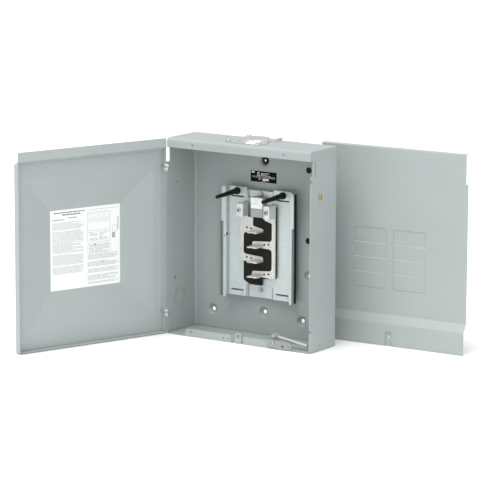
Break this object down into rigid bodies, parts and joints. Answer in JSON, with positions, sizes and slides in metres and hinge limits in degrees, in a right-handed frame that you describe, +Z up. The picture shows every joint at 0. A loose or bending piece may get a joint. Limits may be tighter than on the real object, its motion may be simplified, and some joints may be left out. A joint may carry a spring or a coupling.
{
  "type": "residential load center",
  "caption": "Rainproof sheet-steel electrical panel with side-hung door, plug-on breaker bus, line lugs, latch bar and a lift-out deadfront cover with breakaway openings.",
  "frame": {"origin": "middle of the enclosure's bottom face, halfway across its width and halfway between its front edge and its back face; Z = 0 is the surface it stands on", "axes": "+X to the right seen from the open front, +Y from the open front to the back wall, +Z up"},
  "size_m": [0.6145, 0.4295, 0.3435],
  "materials": {
    "enclosure_paint": "satin",
    "door_paint": "satin",
    "cover_paint": "satin",
    "galvanised": "satin",
    "zinc": "satin",
    "bright_zinc": "gloss",
    "yellow_zinc": "satin",
    "tin_plate": "satin",
    "lug_aluminium": "satin",
    "black_plastic": "matte",
    "grey_plastic": "matte",
    "dark_grey_plastic": "matte",
    "black_label": "satin",
    "white_label": "matte",
    "rubber": "matte",
    "latch_steel": "satin"
  },
  "bodies": {
    "enclosure": {"back_wall": "enclosure_paint", "side_wall_left": "enclosure_paint", "side_wall_right": "enclosure_paint", "top_cap": "enclosure_paint", "bottom_endwall": "enclosure_paint", "hub_plate": "bright_zinc", "hub_screws": "bright_zinc", "knockouts_bottom": "enclosure_paint", "knockouts_left": "enclosure_paint", "rating_label": "black_label", "mounting_washer": "rubber", "hole_plugs": "black_plastic", "bonding_screw": "yellow_zinc", "interior_pan": "galvanised", "pan_screws": "zinc", "pan_trim_left": "dark_grey_plastic", "pan_trim_right": "black_plastic", "insulator_base": "black_plastic", "bus_bar_left": "tin_plate", "bus_bar_right": "tin_plate", "line_lug_left": "lug_aluminium", "line_lug_right": "lug_aluminium", "lug_barrier": "grey_plastic", "lug_label": "white_label", "deadfront_post_left": "black_plastic", "deadfront_post_right": "black_plastic", "latch_bracket": "galvanised", "latch_screw": "zinc", "latch_rivet": "zinc", "hinge_ear_lower": "enclosure_paint", "hinge_ear_upper": "enclosure_paint"},
    "door": {"door_panel": "door_paint", "door_label": "white_label", "hinge_pin_lower": "zinc", "hinge_pin_upper": "zinc"},
    "deadfront": {"deadfront_panel": "cover_paint", "twist_outs_left": "cover_paint", "twist_outs_right": "cover_paint"},
    "latch": {"latch_bar": "latch_steel"},
    "line_screw_left": {"lug_screw_left": "zinc"},
    "line_screw_right": {"lug_screw_right": "zinc"}
  },
  "joints": [
    {"name": "door_hinge", "type": "hinge", "parent": "enclosure", "child": "door", "pos_m": [-0.1454, -0.0428, 0.16], "axis": [0, 0, 1], "range_deg": [-66, 109.6]},
    {"name": "deadfront_lift", "type": "slide", "parent": "enclosure", "child": "deadfront", "axis": [0, 0, 1], "range_m": [0, 0.3]},
    {"name": "latch_turn", "type": "hinge", "parent": "enclosure", "child": "latch", "pos_m": [0.0656, -0.0267, 0.019], "axis": [0, 1, 0], "range_deg": [-90, 0]},
    {"name": "line_screw_left_turn", "type": "slide", "parent": "enclosure", "child": "line_screw_left", "axis": [0, 1, 0], "range_m": [0, 0.0066]},
    {"name": "line_screw_right_turn", "type": "slide", "parent": "enclosure", "child": "line_screw_right", "axis": [0, 1, 0], "range_m": [0, 0.0066]}
  ]
}
